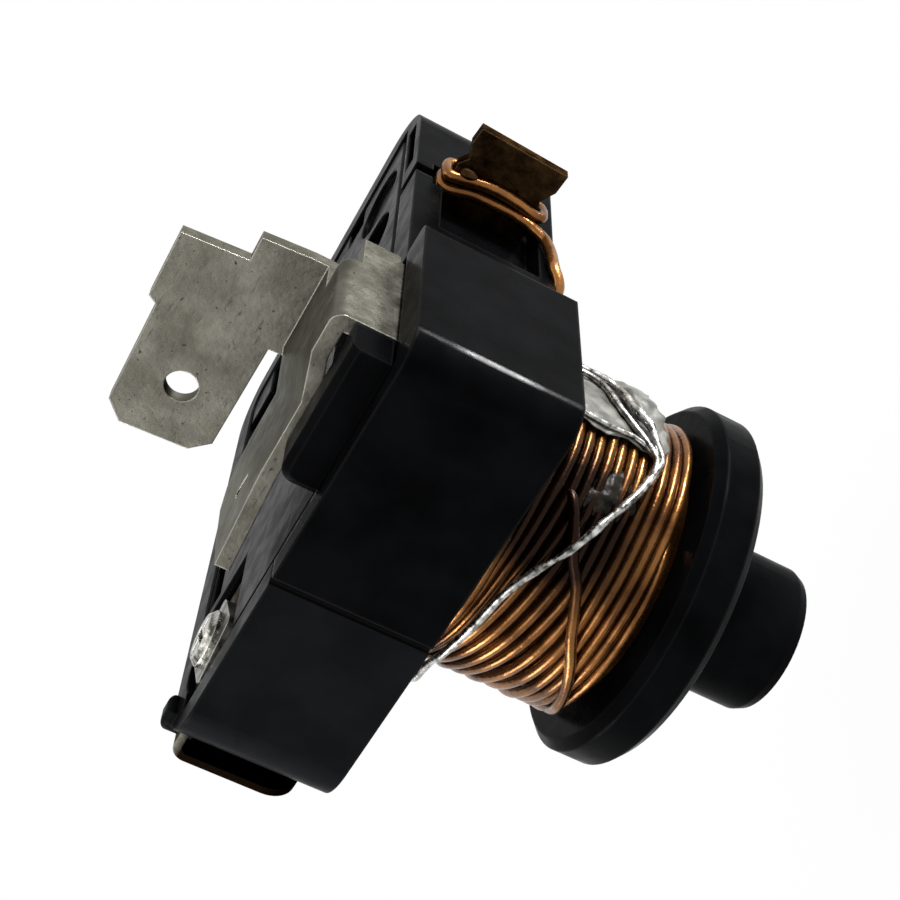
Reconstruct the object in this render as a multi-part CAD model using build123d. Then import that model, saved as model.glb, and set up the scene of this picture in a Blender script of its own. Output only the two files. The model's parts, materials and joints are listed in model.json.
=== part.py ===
from build123d import *
import math
import os

# A current relay that starts a refrigerator compressor, as an assembly of its separate pieces.
# Sizes are millimetres. Z points up along the coil axis, with the contact chamber on top. The origin
# is the centre of the closed post's end face. The tall dark front looks along -Y, and the pins of
# the compressor enter from +Y.

# Coil former: a closed post, a thick flange and a barrel that carries the wire
POST_RADIUS = 4.05
POST_LENGTH = 6.6
POST_RIM = 0.7
FLANGE_RADIUS = 9.75
FLANGE_THICKNESS = 2.8
FLANGE_RIM = 0.5
BARREL_RADIUS = 5.0
WELL_RADIUS = 3.1
WELL_FLOOR = 1.2
SPIGOT_RADIUS = 4.2
SPIGOT_LENGTH = 0.9

# Coil and its leads
WIRE_PITCH = 0.67
WINDING_SPACE = 9.66
WINDING_RADIUS = 8.15
WINDING_FOOT_GAP = 0.05
COPPER_WIRE = 0.33
TINNED_WIRE = 0.38
WIRE_BEND = 0.6
WIRE_SIDES = 6
WINDING_SIDES = 24
BAND_THICKNESS = 0.12

# Outside of the two black mouldings
CASE_HEIGHT = 8.22
CASE_FRONT = -10.9
CASE_REAR = 21.8
CASE_LEFT = -13.7
CASE_RIGHT = 12.4
STEP_DEPTH = 1.9
RECESSED_RIGHT = CASE_RIGHT - STEP_DEPTH
STEP_Y = 0.95
FRONT_LEFT_ROUND = 3.3
FRONT_RIGHT_ROUND = 1.6
REAR_LEFT_ROUND = 3.0
REAR_RIGHT_ROUND = 4.0
STEP_ROUND = 0.6
SEAM_X = -1.7
SEAM_HALF_GAP = 0.04
RAISED_BOTTOM = 0.9
RAISED_FROM_Y = 16.5
FRONT_WALL = 1.6
LEFT_WALL = 1.7
REAR_WALL = 1.5
FLOOR = 1.6
RIM_WIDTH = 1.0
SEAM_WALL = 0.9

# Cover plate that closes the chamber
COVER_THICKNESS = 1.1
COVER_SINK = 0.1
COVER_FRONT = CASE_FRONT + 2.2
COVER_LEFT = CASE_LEFT + 1.8
COVER_RIGHT = RECESSED_RIGHT - 2.3
COVER_RIGHT_FRONT = CASE_RIGHT - 3.2
COVER_REAR = CASE_REAR - 1.6

# Sheet metal of the terminals
SHEET = 0.8
THIN_SHEET = 0.45
STRIP = 0.6

# Contact mechanism
CONTACT_GAP = 2.6
CONTACT_X = 4.2
CONTACT_RADIUS = 1.2
CONTACT_THICKNESS = 0.5
BRIDGE_THICKNESS = 0.7
BRIDGE_HALF_LENGTH = 5.5
BRIDGE_HALF_WIDTH = 2.0
BRIDGE_ABOVE_FLOOR = 0.24
ROD_RADIUS = 0.9
RUNNING_FIT = 0.08
TOUCH = 0.02
PAD_THICKNESS = 0.6
PLUNGER_LENGTH = 13.0
SPRING_WIRE = 0.17
SPRING_RADIUS = 1.4
SPRING_TURNS = 3.5
COLLAR_RADIUS = 1.8
COLLAR_THICKNESS = 0.4
SPRING_LENGTH = 3.3

# Sockets that push onto the compressor pins
PIN_RADIUS = 1.6
PIN_SPACING = 12.7
RUN_PIN_X = 5.2
CLIP_WALL = 0.45
CLIP_FRONT = 11.3
CLIP_LENGTH = 8.0
CLIP_SLIT = 0.9
PIN_HOLE_CLEARANCE = 0.7

# Levels that follow from the sizes above
FLANGE_TOP = POST_LENGTH + FLANGE_THICKNESS
CASE_BOTTOM = FLANGE_TOP + WINDING_SPACE
CASE_TOP = CASE_BOTTOM + CASE_HEIGHT
FLOOR_TOP = CASE_BOTTOM + FLOOR
COVER_TOP = CASE_TOP - COVER_SINK
COVER_BOTTOM = COVER_TOP - COVER_THICKNESS
BRIDGE_BOTTOM = FLOOR_TOP + BRIDGE_ABOVE_FLOOR
BRIDGE_TOP = BRIDGE_BOTTOM + BRIDGE_THICKNESS
TIP_TOP = BRIDGE_TOP + CONTACT_THICKNESS
FIXED_CONTACT_BOTTOM = TIP_TOP + CONTACT_GAP + TOUCH
STRIP_BOTTOM = FIXED_CONTACT_BOTTOM + CONTACT_THICKNESS
STRIP_TOP = STRIP_BOTTOM + STRIP
CLIP_RADIUS = PIN_RADIUS + CLIP_WALL
CLIP_Z = STRIP_BOTTOM - CLIP_RADIUS
START_PIN_X = RUN_PIN_X - PIN_SPACING
COLLAR_TOP = BRIDGE_BOTTOM - SPRING_LENGTH
PLUNGER_BOTTOM = WELL_FLOOR + PAD_THICKNESS
PLUNGER_TOP = PLUNGER_BOTTOM + PLUNGER_LENGTH


def span(x0, x1, y0, y1, z0, z1):
    """A block between two values on each axis."""
    block = Box(x1 - x0, y1 - y0, z1 - z0)
    return Pos((x0 + x1) / 2, (y0 + y1) / 2, (z0 + z1) / 2) * block


def upright(radius, x, y, z0, z1):
    """A round bar along Z."""
    return Pos(x, y, (z0 + z1) / 2) * Cylinder(radius, z1 - z0)


def along_y(radius, x, z, y0, y1):
    """A round bar along Y."""
    return Pos(x, (y0 + y1) / 2, z) * Rot(90, 0, 0) * Cylinder(radius, y1 - y0)


def outline(points, z0, z1):
    """A flat outline in plan, raised between two levels."""
    return extrude(Pos(0, 0, z0) * make_face(Polyline(*points, close=True)), z1 - z0)


def plate_xz(points, y0, y1):
    """An outline in the X-Z plane, with its thickness along +Y."""
    face = make_face(Polyline(*[(x, y0, z) for x, z in points], close=True))
    return extrude(face, y1 - y0, dir=(0, 1, 0))


def upright_edges(solid, x, y, reach=0.2):
    """The vertical edges that stand at one place in plan."""
    found = solid.edges().filter_by(Axis.Z)
    return found.filter_by(lambda e: abs(e.center().X - x) < reach and abs(e.center().Y - y) < reach)


def round_wire(points, radii, wire_radius):
    """A wire whose straight runs join in tangent arcs, with many flat sides in place of a circle."""
    path = FilletPolyline(*points, radius=radii)
    start = Plane(origin=path @ 0, z_dir=path % 0)
    return sweep(start * RegularPolygon(wire_radius, WIRE_SIDES), path=path)


pieces = {}

# Coil former
POST_PROFILE = [
    (0, 0),
    (POST_RADIUS - POST_RIM, 0),
    (POST_RADIUS - 0.3 * POST_RIM, 0.3 * POST_RIM),
    (POST_RADIUS, POST_RIM),
    (POST_RADIUS, POST_LENGTH),
    (FLANGE_RADIUS, POST_LENGTH),
    (FLANGE_RADIUS, FLANGE_TOP),
    (BARREL_RADIUS, FLANGE_TOP),
    (BARREL_RADIUS, CASE_BOTTOM),
    (SPIGOT_RADIUS, CASE_BOTTOM),
    (SPIGOT_RADIUS, CASE_BOTTOM + SPIGOT_LENGTH),
    (WELL_RADIUS, CASE_BOTTOM + SPIGOT_LENGTH),
    (WELL_RADIUS, WELL_FLOOR),
    (0, WELL_FLOOR),
]
former = revolve(make_face(Polyline(*[(x, 0, z) for x, z in POST_PROFILE], close=True)), Axis.Z)
circles = former.edges().filter_by(GeomType.CIRCLE)
flange_rims = circles.filter_by(lambda e: abs(e.radius - FLANGE_RADIUS) < 0.01)
pieces["coil_former"] = chamfer(flange_rims, FLANGE_RIM)

# Copper winding, with one ridge for each turn of its outer layer. Many flat sides stand for the round
# form, so that the turns stay cheap to draw.
winding_foot = FLANGE_TOP + WINDING_FOOT_GAP
winding_turns = int((CASE_BOTTOM - winding_foot) / WIRE_PITCH)
winding_top = winding_foot + winding_turns * WIRE_PITCH
ridge_root = WINDING_RADIUS - WIRE_PITCH / 2
valley = RegularPolygon(ridge_root, WINDING_SIDES)
crest = RegularPolygon(WINDING_RADIUS, WINDING_SIDES)
sections = [Pos(0, 0, winding_foot) * valley]
for turn in range(winding_turns):
    low = winding_foot + turn * WIRE_PITCH
    sections.append(Pos(0, 0, low + WIRE_PITCH / 2) * crest)
    sections.append(Pos(0, 0, low + WIRE_PITCH) * valley)
pieces["coil_winding"] = loft(sections, ruled=True) - upright(BARREL_RADIUS, 0, 0, winding_foot, winding_top)

# Grey insulation band that covers part of the winding on the right
BAND_FROM_ANGLE = -12
BAND_ARC = 62
BAND_BOTTOM = FLANGE_TOP + 2.1
BAND_TOP = FLANGE_TOP + 7.0
band_ring = upright(WINDING_RADIUS + BAND_THICKNESS, 0, 0, BAND_BOTTOM, BAND_TOP)
band_ring -= upright(WINDING_RADIUS, 0, 0, BAND_BOTTOM, BAND_TOP)
wedge_reach = 2 * FLANGE_RADIUS
wedge_points = [(0, 0)]
for step in range(3):
    angle = math.radians(BAND_FROM_ANGLE + step * BAND_ARC / 2)
    wedge_points.append((wedge_reach * math.cos(angle), wedge_reach * math.sin(angle)))
pieces["insulation_band"] = band_ring & outline(wedge_points, BAND_BOTTOM, BAND_TOP)

# Both mouldings as one block first, so that their outside runs on across the seam
CASE_OUTLINE = [
    (CASE_LEFT, CASE_FRONT),
    (CASE_RIGHT, CASE_FRONT),
    (CASE_RIGHT, STEP_Y),
    (RECESSED_RIGHT, STEP_Y),
    (RECESSED_RIGHT, CASE_REAR),
    (CASE_LEFT, CASE_REAR),
]
case = outline(CASE_OUTLINE, CASE_BOTTOM, CASE_TOP)
case = fillet(upright_edges(case, CASE_LEFT, CASE_FRONT), FRONT_LEFT_ROUND)
case = fillet(upright_edges(case, CASE_RIGHT, CASE_FRONT), FRONT_RIGHT_ROUND)
case = fillet(upright_edges(case, CASE_LEFT, CASE_REAR), REAR_LEFT_ROUND)
case = fillet(upright_edges(case, RECESSED_RIGHT, CASE_REAR), REAR_RIGHT_ROUND)
case = fillet(upright_edges(case, CASE_RIGHT, STEP_Y), STEP_ROUND)
raised_level = CASE_BOTTOM + RAISED_BOTTOM
rear_relief = span(CASE_LEFT, CASE_RIGHT, RAISED_FROM_Y, CASE_REAR, CASE_BOTTOM, raised_level)
case -= rear_relief

# Hump over the slot of the end terminal
HUMP_X = -13.9
HUMP_WIDTH = 1.2
HUMP_FRONT = -8.8
HUMP_REAR = -7.5
HUMP_HEIGHT = 0.6
hump = span(HUMP_X, HUMP_X + HUMP_WIDTH, HUMP_FRONT, HUMP_REAR, COVER_BOTTOM, CASE_TOP + HUMP_HEIGHT)
case += fillet(hump.edges().group_by(Axis.Z)[-1], 0.35)

# Recess for the cover, and the deeper chamber inside its rim
WALL_INNER_FRONT = CASE_FRONT + FRONT_WALL
WALL_INNER_LEFT = CASE_LEFT + LEFT_WALL
WALL_INNER_REAR = CASE_REAR - REAR_WALL
WALL_INNER_RIGHT = RECESSED_RIGHT - 1.8
FRONT_INNER_RIGHT = CASE_RIGHT - 1.95
COVER_SEAT = [
    (WALL_INNER_LEFT, WALL_INNER_FRONT),
    (FRONT_INNER_RIGHT, WALL_INNER_FRONT),
    (FRONT_INNER_RIGHT, STEP_Y - 0.2),
    (WALL_INNER_RIGHT, STEP_Y - 0.2),
    (WALL_INNER_RIGHT, WALL_INNER_REAR),
    (WALL_INNER_LEFT, WALL_INNER_REAR),
]
chamber_front = WALL_INNER_FRONT + RIM_WIDTH + 0.4
CHAMBER = [
    (WALL_INNER_LEFT + RIM_WIDTH, chamber_front),
    (FRONT_INNER_RIGHT, chamber_front),
    (FRONT_INNER_RIGHT, STEP_Y - 0.2),
    (WALL_INNER_RIGHT - RIM_WIDTH, STEP_Y - 0.2),
    (WALL_INNER_RIGHT - RIM_WIDTH, WALL_INNER_REAR - RIM_WIDTH),
    (WALL_INNER_LEFT + RIM_WIDTH, WALL_INNER_REAR - RIM_WIDTH),
]
seat = outline(COVER_SEAT, COVER_BOTTOM, CASE_TOP)
seat = fillet(upright_edges(seat, WALL_INNER_LEFT, WALL_INNER_REAR), 1.3)
case -= seat
case -= outline(CHAMBER, FLOOR_TOP, COVER_BOTTOM)

# Inner walls along the seam, open where the contact bridge passes
BRIDGE_DOOR = BRIDGE_HALF_WIDTH + 0.6
for door_y0, door_y1 in [(chamber_front, -BRIDGE_DOOR), (BRIDGE_DOOR, WALL_INNER_REAR - RIM_WIDTH)]:
    case += span(SEAM_X - SEAM_WALL, SEAM_X + SEAM_WALL, door_y0, door_y1, FLOOR_TOP, COVER_BOTTOM)

# Pillar under the screw terminal and rib under the line contact strip
SCREW_X = -9.6
SCREW_Y = -6.4
END_LEG_REAR = -2.9
END_LEG_INNER = -7.4
END_LEG_BOTTOM = COVER_BOTTOM + 0.25
LINE_RIB_X = 6.6
LINE_STRIP_FRONT = -3.2
LINE_STRIP_REAR = 0.4
case += span(WALL_INNER_LEFT, END_LEG_INNER, WALL_INNER_FRONT, END_LEG_REAR, CASE_BOTTOM, END_LEG_BOTTOM)
case += span(LINE_RIB_X, FRONT_INNER_RIGHT, LINE_STRIP_FRONT, LINE_STRIP_REAR, FLOOR_TOP, STRIP_BOTTOM)

# Saddles under the two socket clips
SADDLE_HALF_WIDTH = 1.4
SADDLE_LENGTH = 1.6
SADDLE_FROM_END = 1.2
for clip_x in (RUN_PIN_X, START_PIN_X):
    for saddle_y in (CLIP_FRONT + SADDLE_FROM_END, CLIP_FRONT + CLIP_LENGTH - SADDLE_FROM_END - SADDLE_LENGTH):
        rear_end = saddle_y + SADDLE_LENGTH
        saddle_top = CLIP_Z - CLIP_RADIUS + 0.3
        left = clip_x - SADDLE_HALF_WIDTH
        right = clip_x + SADDLE_HALF_WIDTH
        saddle = span(left, right, saddle_y, rear_end, FLOOR_TOP, saddle_top)
        case += saddle - along_y(CLIP_RADIUS, clip_x, CLIP_Z, saddle_y, rear_end)
    hole_radius = PIN_RADIUS + PIN_HOLE_CLEARANCE
    case -= along_y(hole_radius, clip_x, CLIP_Z, CLIP_FRONT + CLIP_LENGTH, CASE_REAR)

# Hole for the push rod and its spring, with the seat of the former's spigot
ROD_HOLE_RADIUS = 2.2
case -= upright(ROD_HOLE_RADIUS, 0, 0, CASE_BOTTOM, FLOOR_TOP)
case -= upright(SPIGOT_RADIUS, 0, 0, CASE_BOTTOM, CASE_BOTTOM + SPIGOT_LENGTH)

# Slot and wire pocket of the run terminal in the right wall
RUN_PLATE_FRONT = 11.1
RUN_PLATE_BOTTOM = CASE_BOTTOM + 1.44
RUN_PLATE_TOP = CASE_TOP - 1.78
SLOT_PLAY = 0.1
POCKET_X = RECESSED_RIGHT - 1.3
POCKET_FRONT = 5.5
POCKET_REAR = 13.0
POCKET_SILL = 0.9
POCKET_TOP = RUN_PLATE_TOP + 0.2
SIDE_RECESS_X = RECESSED_RIGHT - 1.5
SIDE_RECESS_Y = 13.6
SIDE_RECESS_WIDTH = 0.9
SIDE_RECESS_LENGTH = 5.2
SIDE_RECESS_DEPTH = 0.8
slot_front = RUN_PLATE_FRONT - SLOT_PLAY
slot_rear = RUN_PLATE_FRONT + SHEET + SLOT_PLAY
slot_left = RUN_PIN_X + CLIP_RADIUS - SLOT_PLAY
slot_bottom = RUN_PLATE_BOTTOM - SLOT_PLAY
case -= span(slot_left, RECESSED_RIGHT, slot_front, slot_rear, slot_bottom, CASE_TOP)
case -= span(POCKET_X, RECESSED_RIGHT, POCKET_FRONT, POCKET_REAR, CASE_BOTTOM + POCKET_SILL, POCKET_TOP)
recess_right = SIDE_RECESS_X + SIDE_RECESS_WIDTH
recess_rear = SIDE_RECESS_Y + SIDE_RECESS_LENGTH
case -= span(SIDE_RECESS_X, recess_right, SIDE_RECESS_Y, recess_rear, CASE_TOP - SIDE_RECESS_DEPTH, CASE_TOP)

# Notch over the pocket, where the lead passes over the run terminal
TURN_NOTCH = 0.6
turn_notch_left = RECESSED_RIGHT - TURN_NOTCH
turn_notch_top = POCKET_TOP + TURN_NOTCH
case -= span(turn_notch_left, RECESSED_RIGHT, slot_front - 0.7, slot_rear + 0.7, POCKET_TOP, turn_notch_top)

# Slot of the end terminal, its insert bore and the passage of the tinned lead
END_FRONT = -9.1
END_SLOT_PLAY = 0.08
INSERT_RADIUS = 2.0
INSERT_LENGTH = 4.6
end_slot_top = END_LEG_BOTTOM + THIN_SHEET + END_SLOT_PLAY
end_slot_front = END_FRONT - END_SLOT_PLAY
end_slot_rear = END_LEG_REAR + END_SLOT_PLAY
case -= span(HUMP_X, WALL_INNER_LEFT, end_slot_front, end_slot_rear, END_LEG_BOTTOM, end_slot_top)
case -= upright(INSERT_RADIUS, SCREW_X, SCREW_Y, END_LEG_BOTTOM - INSERT_LENGTH, END_LEG_BOTTOM)
WASHER_RELIEF = 2.8
case -= upright(WASHER_RELIEF, SCREW_X, SCREW_Y, end_slot_top - END_SLOT_PLAY, CASE_TOP + HUMP_HEIGHT)
lead_direction = math.radians(63.4)
LEAD_X = SCREW_X + (INSERT_RADIUS + TINNED_WIRE) * math.cos(lead_direction)
LEAD_Y = SCREW_Y + (INSERT_RADIUS + TINNED_WIRE) * math.sin(lead_direction)
LEAD_TOP = END_LEG_BOTTOM - INSERT_LENGTH + 1.6
case -= upright(TINNED_WIRE + 0.2, LEAD_X, LEAD_Y, CASE_BOTTOM, LEAD_TOP + 0.2)

# Cut the block at the seam into the two mouldings, with a shallow groove along their joint
groove_depth = 0.25
groove_half = 0.18
groove_left = SEAM_X - groove_half
groove_right = SEAM_X + groove_half
case -= span(groove_left, groove_right, CASE_FRONT, CASE_FRONT + groove_depth, CASE_BOTTOM, CASE_TOP)
left_half = span(HUMP_X - 1, SEAM_X - SEAM_HALF_GAP, CASE_FRONT - 1, CASE_REAR + 1, CASE_BOTTOM, CASE_TOP + 2)
right_half = span(SEAM_X + SEAM_HALF_GAP, CASE_RIGHT + 1, CASE_FRONT - 1, CASE_REAR + 1, CASE_BOTTOM, CASE_TOP + 2)
pieces["terminal_block"] = case & left_half
pieces["contact_housing"] = case & right_half

# Cover plate with the guard that carries the line terminal
COVER_OUTLINE = [
    (END_LEG_INNER + 0.5, COVER_FRONT),
    (COVER_RIGHT_FRONT, COVER_FRONT),
    (COVER_RIGHT_FRONT, STEP_Y - 0.3),
    (COVER_RIGHT, STEP_Y - 0.3),
    (COVER_RIGHT, COVER_REAR),
    (COVER_LEFT, COVER_REAR),
    (COVER_LEFT, END_LEG_REAR + 0.3),
    (END_LEG_INNER + 0.5, END_LEG_REAR + 0.3),
]
cover = outline(COVER_OUTLINE, COVER_BOTTOM, COVER_TOP)
cover = fillet(upright_edges(cover, COVER_LEFT, COVER_REAR), 1.5)
cover = chamfer(cover.faces().sort_by(Axis.Z)[-1].outer_wire().edges(), 0.2)
WINDOW_HOLE = (5.1, 11.7, 2.05)
ROUND_RECESS = (5.4, 16.5, 2.15, 0.3)
cover -= upright(WINDOW_HOLE[2], WINDOW_HOLE[0], WINDOW_HOLE[1], COVER_BOTTOM, COVER_TOP)
cover -= upright(ROUND_RECESS[2], ROUND_RECESS[0], ROUND_RECESS[1], COVER_TOP - ROUND_RECESS[3], COVER_TOP)
NOTCH_DEPTH = 0.8
NOTCH_LENGTH = 4.4
NOTCH_WIDTH = 1.6
notch_floor = COVER_TOP - NOTCH_DEPTH
notch_right = COVER_LEFT + NOTCH_LENGTH
notch_front = COVER_REAR - NOTCH_LENGTH - 0.6
cover -= span(COVER_LEFT, notch_right, notch_front, notch_front + NOTCH_WIDTH + 0.6, notch_floor, COVER_TOP)
cover -= span(notch_right - NOTCH_WIDTH, notch_right, notch_front, COVER_REAR, notch_floor, COVER_TOP)
REAR_NOTCH_X = 1.3
rear_notch_right = REAR_NOTCH_X + NOTCH_WIDTH + 0.3
cover -= span(REAR_NOTCH_X, rear_notch_right, COVER_REAR - 2.1, COVER_REAR, notch_floor, COVER_TOP)
VENT_WIDTH = 1.4
VENT_LENGTH = 3.7
vent_left = COVER_LEFT + 0.3
vent_front = END_LEG_REAR + 1.2
cover -= span(vent_left, vent_left + VENT_WIDTH, vent_front, vent_front + VENT_LENGTH, COVER_BOTTOM, COVER_TOP)

GUARD_LEFT = 2.4
GUARD_FRONT = -9.4
GUARD_REAR = 0.6
GUARD_CORNER = 0.8
GUARD_EDGE = 0.35
LIP_BEHIND_LEG = 0.15
PANEL_ABOVE_CASE = 2.97
JOGGLE_RISE = 0.75
PANEL_GAP = 0.25
LEG_FROM_SIDE = 2.3
LEG_OUTER = CASE_RIGHT - LEG_FROM_SIDE
LEG_INNER = LEG_OUTER - SHEET
LEG_FRONT = -7.0
PANEL_TOP = CASE_TOP + PANEL_ABOVE_CASE
STRIP_LEVEL = PANEL_TOP - JOGGLE_RISE
GUARD_TOP_LEFT = STRIP_LEVEL - SHEET
GUARD_TOP_RIGHT = PANEL_TOP - SHEET - PANEL_GAP
GUARD_FOOT_GAP = 0.02
guard_foot = CASE_TOP + GUARD_FOOT_GAP
GUARD_PROFILE = [
    (GUARD_LEFT, guard_foot),
    (GUARD_LEFT, GUARD_TOP_LEFT),
    (5.6, GUARD_TOP_LEFT),
    (7.8, GUARD_TOP_RIGHT),
    (LEG_INNER - SLOT_PLAY, GUARD_TOP_RIGHT),
    (LEG_INNER - SLOT_PLAY, guard_foot),
]
guard = plate_xz(GUARD_PROFILE, GUARD_FRONT, GUARD_REAR)
lip_rear = LEG_FRONT - LIP_BEHIND_LEG
lip = span(GUARD_LEFT, LEG_OUTER, GUARD_FRONT, lip_rear, guard_foot, GUARD_TOP_RIGHT)
lip_edges = lip.edges().filter_by(Axis.Y)
lip = fillet(lip_edges.group_by(Axis.Z)[-1].sort_by(Axis.X)[0], GUARD_CORNER)
front_edges = lip.faces().sort_by(Axis.Y)[0].edges()
front_edges = front_edges.filter_by(lambda e: e.center().Z > guard_foot + 0.1)
lip = chamfer(front_edges.filter_by(lambda e: e.center().X < LEG_OUTER - 0.1), GUARD_EDGE)
guard -= span(GUARD_LEFT, LEG_OUTER, GUARD_FRONT, lip_rear, guard_foot, GUARD_TOP_RIGHT)
guard += lip
guard += span(GUARD_LEFT, COVER_RIGHT_FRONT, COVER_FRONT, GUARD_REAR, COVER_TOP - 0.4, guard_foot)

guard -= span(LEG_INNER - SLOT_PLAY, LEG_OUTER, lip_rear, GUARD_REAR, COVER_BOTTOM, guard_foot)
pieces["cover_plate"] = cover + guard

# Line terminal: a stamped sheet that stands in the chamber, folds over the guard and turns up
LEG_REAR = 0.5
EAR_FRONT = -1.45
EAR_REAR = 1.1
EAR_TOP = STRIP_LEVEL - 0.2
EAR_ABOVE_CASE = 0.08

JOGGLE_FOOT_X = 5.2
JOGGLE_HEAD_X = 7.8
JOGGLE_SLANT = (-4.6, 7.7, 0)
TERMINAL_LEFT = -5.6
TAB_FRONT = 0.8
TAB_REAR = TAB_FRONT + SHEET
TAB_RIGHT = 8.1
TAB_FOOT_LEFT = 2.7
TAIL_BEND_X = 0.8
TAIL_SLOPE = 0.055
tail_end = 2 * TERMINAL_LEFT
sheet_right = 2 * LEG_OUTER
tail_level = STRIP_LEVEL - (TAIL_BEND_X - tail_end) * TAIL_SLOPE
SHEET_PROFILE = [
    (tail_end, tail_level - SHEET),
    (TAIL_BEND_X, STRIP_LEVEL - SHEET),
    (JOGGLE_FOOT_X, STRIP_LEVEL - SHEET),
    (JOGGLE_HEAD_X, PANEL_TOP - SHEET),
    (sheet_right, PANEL_TOP - SHEET),
    (sheet_right, PANEL_TOP),
    (JOGGLE_HEAD_X, PANEL_TOP),
    (JOGGLE_FOOT_X, STRIP_LEVEL),
    (TAIL_BEND_X, STRIP_LEVEL),
    (tail_end, tail_level),
]
slant_start = LEG_FRONT - 2
slant_shift = -2 * JOGGLE_SLANT[0] / JOGGLE_SLANT[1]
slanted = make_face(Polyline(*[(x + slant_shift, slant_start, z) for x, z in SHEET_PROFILE], close=True))
folded_sheet = extrude(slanted, 14, dir=JOGGLE_SLANT)
SHEET_OUTLINE = [
    (-4.9, LEG_FRONT),
    (LEG_OUTER, LEG_FRONT),
    (LEG_OUTER, EAR_FRONT),
    (TAB_RIGHT + 0.1, EAR_FRONT),
    (TAB_RIGHT, TAB_FRONT),
    (TAB_FOOT_LEFT - 0.1, TAB_FRONT),
    (1.0, 0.5),
    (-4.1, 0.2),
    (-5.1, -0.2),
    (TERMINAL_LEFT - 0.1, -1.4),
    (-5.5, -3.7),
]
terminal = folded_sheet & outline(SHEET_OUTLINE, STRIP_LEVEL - 2, PANEL_TOP + 1)
terminal += span(LEG_INNER, LEG_OUTER, LEG_FRONT, EAR_FRONT, STRIP_TOP, PANEL_TOP)
terminal += span(LEG_INNER, LEG_OUTER, EAR_FRONT, LEG_REAR, STRIP_TOP, EAR_TOP)
terminal += span(LEG_INNER, LEG_OUTER, EAR_FRONT, EAR_REAR, CASE_TOP + EAR_ABOVE_CASE, EAR_TOP)
fold = terminal.edges().filter_by(Axis.Y)
fold = fold.filter_by(lambda e: abs(e.center().X - LEG_OUTER) < 0.05 and e.center().Z > PANEL_TOP - 0.05)
terminal = fillet(fold, 0.65)
TAB_LOW = PANEL_TOP + 0.75
TAB_STEP = PANEL_TOP + 3.45
TAB_TOP = PANEL_TOP + 6.95
TAB_OUTLINE = [
    (TAB_RIGHT, PANEL_TOP - SHEET),
    (TAB_RIGHT, TAB_LOW),
    (TAB_RIGHT - 0.2, TAB_STEP),
    (6.55, TAB_STEP),
    (6.3, TAB_TOP),
    (2.5, TAB_TOP),
    (2.2, TAB_TOP - 0.5),
    (-3.8, TAB_TOP - 0.55),
    (-4.8, TAB_TOP - 1.5),
    (-4.6, TAB_LOW + 1.0),
    (-3.7, TAB_LOW),
    (TAB_FOOT_LEFT - 0.1, TAB_LOW - 0.15),
    (TAB_FOOT_LEFT, PANEL_TOP - SHEET),
]
TAB_HOLE = (-1.4, TAB_STEP + 0.05, 0.875)
TAB_FOOT_BEND = 0.7
tab = plate_xz(TAB_OUTLINE, TAB_FRONT, TAB_REAR)
tab = fillet(tab.edges().group_by(Axis.Z)[0].sort_by(Axis.Y)[-1], TAB_FOOT_BEND)
tab -= along_y(TAB_HOLE[2], TAB_HOLE[0], TAB_HOLE[1], TAB_FRONT, TAB_REAR)
terminal += tab
STAKE_SLOT = (-2.15, -4.05, 1.7, 0.5, -18)
stake_place = Pos(STAKE_SLOT[0], STAKE_SLOT[1], STRIP_LEVEL) * Rot(0, 0, STAKE_SLOT[4])
stake = stake_place * Box(STAKE_SLOT[2], STAKE_SLOT[3], 0.6)
pieces["line_terminal"] = terminal - stake

# Contact strips inside the chamber, each with a riveted fixed contact
CONTACT_END = 2.7
STRIP_ROUND = 0.5
STRIP_HALF_WIDTH = 1.9
line_strip = span(CONTACT_END, LEG_OUTER, LINE_STRIP_FRONT, LINE_STRIP_REAR, STRIP_BOTTOM, STRIP_TOP)
line_strip += span(CONTACT_END, LINE_RIB_X + 0.4, LINE_STRIP_FRONT, STRIP_HALF_WIDTH, STRIP_BOTTOM, STRIP_TOP)
pieces["line_contact_strip"] = fillet(line_strip.edges().filter_by(Axis.Z), STRIP_ROUND)
STRIP_OUTER = START_PIN_X - 1.7
start_strip = span(STRIP_OUTER, -CONTACT_END, -STRIP_HALF_WIDTH, STRIP_HALF_WIDTH, STRIP_BOTTOM, STRIP_TOP)
start_strip += span(STRIP_OUTER, START_PIN_X + 1.5, -STRIP_HALF_WIDTH, CLIP_FRONT + 3, STRIP_BOTTOM, STRIP_TOP)
pieces["start_contact_strip"] = fillet(start_strip.edges().filter_by(Axis.Z), STRIP_ROUND)
CONTACT_EDGE = 0.15
for name, side in [("line_fixed_contact", 1), ("start_fixed_contact", -1)]:
    button = upright(CONTACT_RADIUS + 0.1, side * CONTACT_X, 0, FIXED_CONTACT_BOTTOM, STRIP_BOTTOM)
    pieces[name] = chamfer(button.edges().group_by(Axis.Z)[0], CONTACT_EDGE)

# Run terminal: a flat plate with a notched neck for the coil lead
RUN_OUTLINE = [
    (RUN_PIN_X + CLIP_RADIUS, RUN_PLATE_BOTTOM),
    (RECESSED_RIGHT + 1.0, RUN_PLATE_BOTTOM),
    (RECESSED_RIGHT + 1.5, RUN_PLATE_BOTTOM + 0.2),
    (RECESSED_RIGHT + 2.3, RUN_PLATE_BOTTOM - 0.3),
    (RECESSED_RIGHT + 3.4, RUN_PLATE_BOTTOM - 0.4),
    (RECESSED_RIGHT + 3.6, RUN_PLATE_TOP - 0.2),
    (RECESSED_RIGHT + 2.6, RUN_PLATE_TOP - 0.1),
    (RECESSED_RIGHT + 1.8, RUN_PLATE_TOP - 0.4),
    (RECESSED_RIGHT + 1.3, RUN_PLATE_TOP),
    (RUN_PIN_X + CLIP_RADIUS, RUN_PLATE_TOP),
]
pieces["run_terminal"] = plate_xz(RUN_OUTLINE, RUN_PLATE_FRONT, RUN_PLATE_FRONT + SHEET)

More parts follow.
